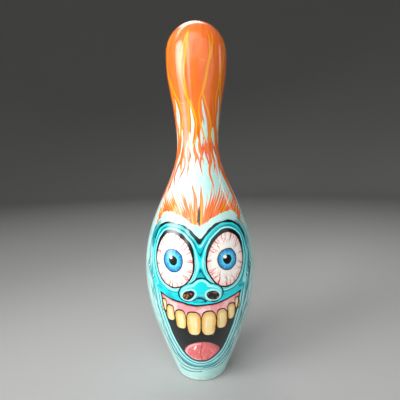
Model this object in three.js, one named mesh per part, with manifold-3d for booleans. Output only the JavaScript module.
// A regulation ten-pin bowling pin, built the way a real one is.
//
// Three maple boards are glued face to face into a square core that runs the
// whole height. Four wider maple blocks are glued on the core's sides to fill
// out the belly. The blank is turned on a lathe, a nylon ring is set in its
// foot, and a tough plastic coating is moulded over wood and ring together.
//
// Millimetres, +Z up. The origin is the centre of the flat foot, and the
// front of the pin faces -Y.
import * as THREE from "three";
import { mergeVertices } from "three/addons/utils/BufferGeometryUtils.js";
import Module from "manifold-3d";

const wasm = await Module();
wasm.setup();

// ---- Driving dimensions -------------------------------------------------

const INCH = 25.4;
const PIN_HEIGHT = 15 * INCH;
const HEAD_RADIUS = 1.273 * INCH;
const FOOT_FILLET = (5 / 32) * INCH;

// The regulation gauge: [height, diameter] in inches, from the foot upwards.
// The first row is where the foot's straight flank would meet the floor.
const GAUGE = [
  [0, 2.25],
  [0.75, 2.828],
  [2.25, 3.906],
  [3.375, 4.51],
  [4.5, 4.766],
  [5.875, 4.563],
  [7.25, 3.703],
  [8.625, 2.472],
  [9.375, 1.965],
  [10, 1.797],
  [10.875, 1.87],
  [11.75, 2.094],
  [12.625, 2.406],
  [13.5, 2.547],
];

const COAT_THICKNESS = 1.8;
const GAP = 0.3; // glue line, and the clearance between neighbouring pieces

const BOARD_THICKNESS = 23; // each of the core's three boards, planed
const BOARD_COUNT = 3;
const CORE_HALF = (BOARD_COUNT * BOARD_THICKNESS + (BOARD_COUNT - 1) * GAP) / 2;

const BORE_RADIUS = 0.375 * INCH; // the lathe centre's hole in the foot
const BORE_DEPTH = 2 * INCH;

const RING_BORE_RADIUS = 18;
const RING_FLANGE = 4.2; // height of the part of the ring that shows
const RING_HEIGHT = 13;
const RING_CHAMFER = 0.6;
const WOOD_RECESS = 2; // the end grain stands this far above the floor

// The coating's inward bead sits in a groove round the ring and locks it.
const GROOVE_LOW = 7.2;
const GROOVE_HIGH = 10;
const GROOVE_DEPTH = 1.4;

const SEGMENTS = 40; // round the pin
const FLANK_ROWS = 30; // up the flank, foot to head
const DOME_ROWS = 7; // over the head
const FILLET_ROWS = 4;

const SLOPE_STEP = 0.05; // half of the stretch over which a slope is measured
const WELD = 1e-4; // vertices nearer than this are one
const BELOW_FOOT = -1; // where a cut starts that goes through the foot

// ---- The pin's outline --------------------------------------------------

const HEAD_CENTRE = PIN_HEIGHT - HEAD_RADIUS;

// A cubic spline through the gauge, straight at the foot and upright where
// it meets the round head. It returns the radius at a height.
function gaugeSpline() {
  const z = [...GAUGE.map(([h]) => h * INCH), HEAD_CENTRE];
  const r = [...GAUGE.map(([, d]) => (d * INCH) / 2), HEAD_RADIUS];
  const n = z.length;
  const slope = (i) => (r[i + 1] - r[i]) / (z[i + 1] - z[i]);

  // Second derivatives at the knots, by forward sweep and back substitution.
  const ratio = [0];
  const value = [0];
  for (let i = 1; i < n; i++) {
    const last = i === n - 1;
    const low = z[i] - z[i - 1];
    const high = last ? 0 : z[i + 1] - z[i];
    const pull = 6 * ((last ? 0 : slope(i)) - slope(i - 1));
    const pivot = 2 * (low + high) - low * ratio[i - 1];
    ratio[i] = high / pivot;
    value[i] = (pull - low * value[i - 1]) / pivot;
  }
  const bend = new Array(n).fill(0);
  bend[n - 1] = value[n - 1];
  for (let i = n - 2; i > 0; i--) bend[i] = value[i] - ratio[i] * bend[i + 1];

  return (height) => {
    let i = 0;
    while (i < n - 2 && height > z[i + 1]) i++;
    const h = z[i + 1] - z[i];
    const a = (z[i + 1] - height) / h;
    const b = 1 - a;
    const curve = (a ** 3 - a) * bend[i] + (b ** 3 - b) * bend[i + 1];
    return a * r[i] + b * r[i + 1] + (curve * h * h) / 6;
  };
}

const flankRadius = gaugeSpline();

// The unit normal of the flank, in (radius, height).
function flankNormal(height) {
  const above = flankRadius(height + SLOPE_STEP);
  const below = flankRadius(height - SLOPE_STEP);
  return new THREE.Vector2(2 * SLOPE_STEP, below - above).normalize();
}

// Points of the outline from a starting height to the top of the head, moved
// inwards by inset. Every inset has the same rows, so neighbouring skins keep
// an even gap.
function outline(inset, from) {
  const points = [];
  for (let row = 0; row <= FLANK_ROWS; row++) {
    const height = from + ((HEAD_CENTRE - from) * row) / FLANK_ROWS;
    const normal = flankNormal(Math.min(height, HEAD_CENTRE - 2 * SLOPE_STEP));
    const onFlank = new THREE.Vector2(flankRadius(height), height);
    points.push(onFlank.addScaledVector(normal, -inset));
  }
  for (let row = 1; row < DOME_ROWS; row++) {
    const turn = (Math.PI / 2) * (row / DOME_ROWS);
    const radius = HEAD_RADIUS - inset;
    const height = HEAD_CENTRE + radius * Math.sin(turn);
    points.push(new THREE.Vector2(radius * Math.cos(turn), height));
  }
  points.push(new THREE.Vector2(0, PIN_HEIGHT - inset));
  return points;
}

// ---- Solids -------------------------------------------------------------

const at = (radius, height) => new THREE.Vector2(radius, height);

// A three.js geometry as a manifold-3d solid.
function toSolid(geometry) {
  const bare = geometry.clone();
  bare.deleteAttribute("normal");
  bare.deleteAttribute("uv");
  const merged = mergeVertices(bare, WELD);
  const mesh = new wasm.Mesh({
    numProp: 3,
    vertProperties: merged.getAttribute("position").array,
    triVerts: new Uint32Array(merged.index.array),
  });
  return new wasm.Manifold(mesh);
}

function toGeometry(solid) {
  const { vertProperties, triVerts } = solid.getMesh();
  const geometry = new THREE.BufferGeometry();
  const positions = new THREE.BufferAttribute(vertProperties, 3);
  geometry.setAttribute("position", positions);
  geometry.setIndex(new THREE.BufferAttribute(triVerts, 1));
  return geometry;
}

// Turns a profile of (radius, height) points round the Z axis.
function turned(profile) {
  const geometry = new THREE.LatheGeometry(profile, SEGMENTS);
  geometry.rotateX(Math.PI / 2);
  return toSolid(geometry);
}

function block(low, high) {
  const size = high.clone().sub(low);
  const middle = low.clone().add(high).multiplyScalar(0.5);
  const geometry = new THREE.BoxGeometry(size.x, size.y, size.z);
  geometry.translate(middle.x, middle.y, middle.z);
  return toSolid(geometry);
}

// ---- The foot's levels ---------------------------------------------------

const COAT_FOOT = RING_FLANGE + GAP;
const RING_NECK = flankRadius(RING_FLANGE) - COAT_THICKNESS - GAP;
const GROOVE_RADIUS = RING_NECK - GROOVE_DEPTH;

// The moulded coating: the outside of the pin down to the ring's flange, with
// the bead that grips the ring's groove.
function plasticCoating() {
  const outside = turned([
    at(0, COAT_FOOT),
    ...outline(0, COAT_FOOT),
  ]);
  const hollow = turned([
    at(0, 0),
    at(RING_NECK + GAP, 0),
    at(RING_NECK + GAP, GROOVE_LOW + GAP),
    at(GROOVE_RADIUS + GAP, GROOVE_LOW + GAP),
    at(GROOVE_RADIUS + GAP, GROOVE_HIGH - GAP),
    at(RING_NECK + GAP, GROOVE_HIGH - GAP),
    ...outline(COAT_THICKNESS, RING_HEIGHT + GAP),
  ]);
  return outside.subtract(hollow);
}

// The arc that rolls the flat foot into the flank, from the floor upwards. It
// ends where it has turned to the flank's own tilt.
function footFillet() {
  const normal = flankNormal(FOOT_FILLET);
  const tilt = Math.atan2(-normal.y, normal.x);
  const meeting = FOOT_FILLET * (1 - Math.sin(tilt));
  const centre = flankRadius(meeting) - FOOT_FILLET * Math.cos(tilt);
  const points = [];
  for (let row = 0; row <= FILLET_ROWS; row++) {
    const turn = (Math.PI / 2 - tilt) * (row / FILLET_ROWS) - Math.PI / 2;
    const radius = centre + FOOT_FILLET * Math.cos(turn);
    points.push(at(radius, FOOT_FILLET + FOOT_FILLET * Math.sin(turn)));
  }
  return points;
}

// The nylon ring that the pin stands on, with its locking groove.
function baseRing() {
  return turned([
    at(RING_BORE_RADIUS + RING_CHAMFER, 0),
    ...footFillet(),
    at(flankRadius(RING_FLANGE), RING_FLANGE),
    at(RING_NECK, RING_FLANGE),
    at(RING_NECK, GROOVE_LOW),
    at(GROOVE_RADIUS, GROOVE_LOW),
    at(GROOVE_RADIUS, GROOVE_HIGH),
    at(RING_NECK, GROOVE_HIGH),
    at(RING_NECK, RING_HEIGHT - RING_CHAMFER),
    at(RING_NECK - RING_CHAMFER, RING_HEIGHT),
    at(RING_BORE_RADIUS, RING_HEIGHT),
    at(RING_BORE_RADIUS, RING_CHAMFER),
    at(RING_BORE_RADIUS + RING_CHAMFER, 0),
  ]);
}

// The whole turned blank, before it is parted into boards and blocks: a boss
// that fills the ring, the flank, and the lathe centre's blind hole.
function turnedBlank() {
  const boss = RING_BORE_RADIUS - GAP;
  const shoulder = RING_HEIGHT + GAP;
  const wood = turned([
    at(0, WOOD_RECESS),
    at(boss, WOOD_RECESS),
    at(boss, shoulder),
    ...outline(COAT_THICKNESS + GAP, shoulder),
  ]);
  const bore = turned([
    at(0, BELOW_FOOT),
    at(BORE_RADIUS, BELOW_FOOT),
    at(BORE_RADIUS, WOOD_RECESS + BORE_DEPTH),
    at(0, WOOD_RECESS + BORE_DEPTH),
  ]);
  return wood.subtract(bore);
}

const FAR = PIN_HEIGHT; // beyond the blank on every side

// One of the core's boards. Place -1 is the left one, 0 the centre, 1 right.
function coreBoard(blank, place) {
  const pitch = BOARD_THICKNESS + GAP;
  const low = place * pitch - BOARD_THICKNESS / 2;
  const board = block(
    new THREE.Vector3(low, -CORE_HALF, 0),
    new THREE.Vector3(low + BOARD_THICKNESS, CORE_HALF, FAR),
  );
  return blank.intersect(board);
}

// A block glued on the core's +X side, as wide as the core.
function sideBlock(blank) {
  const face = CORE_HALF + GAP;
  const box = block(
    new THREE.Vector3(face, -CORE_HALF, 0),
    new THREE.Vector3(FAR, CORE_HALF, FAR),
  );
  return blank.intersect(box);
}

// A block glued on afterwards on the -Y side, across the core and the edges
// of both side blocks.
function frontBlock(blank) {
  const face = CORE_HALF + GAP;
  const box = block(
    new THREE.Vector3(-FAR, -FAR, 0),
    new THREE.Vector3(FAR, -face, FAR),
  );
  return blank.intersect(box);
}

// ---- The assembly -------------------------------------------------------

const coating = new THREE.MeshStandardMaterial({
  color: 0xbfeee2,
  roughness: 0.12,
  metalness: 0,
});
const nylon = new THREE.MeshStandardMaterial({
  color: 0xe4e2d2,
  roughness: 0.45,
  metalness: 0,
});
const maple = new THREE.MeshStandardMaterial({
  color: 0xd9b98a,
  roughness: 0.7,
  metalness: 0,
});

const pin = new THREE.Group();

function add(name, solid, material) {
  const mesh = new THREE.Mesh(toGeometry(solid), material);
  mesh.name = name;
  pin.add(mesh);
  return mesh;
}

const blank = turnedBlank();
add("plastic_coating", plasticCoating(), coating);
add("base_ring", baseRing(), nylon);
add("core_board_left", coreBoard(blank, -1), maple);
add("core_board_centre", coreBoard(blank, 0), maple);
add("core_board_right", coreBoard(blank, 1), maple);
add("belly_block_right", sideBlock(blank), maple);
add("belly_block_left", sideBlock(blank), maple).rotation.z = Math.PI;
add("belly_block_front", frontBlock(blank), maple);
add("belly_block_back", frontBlock(blank), maple).rotation.z = Math.PI;

export default pin;
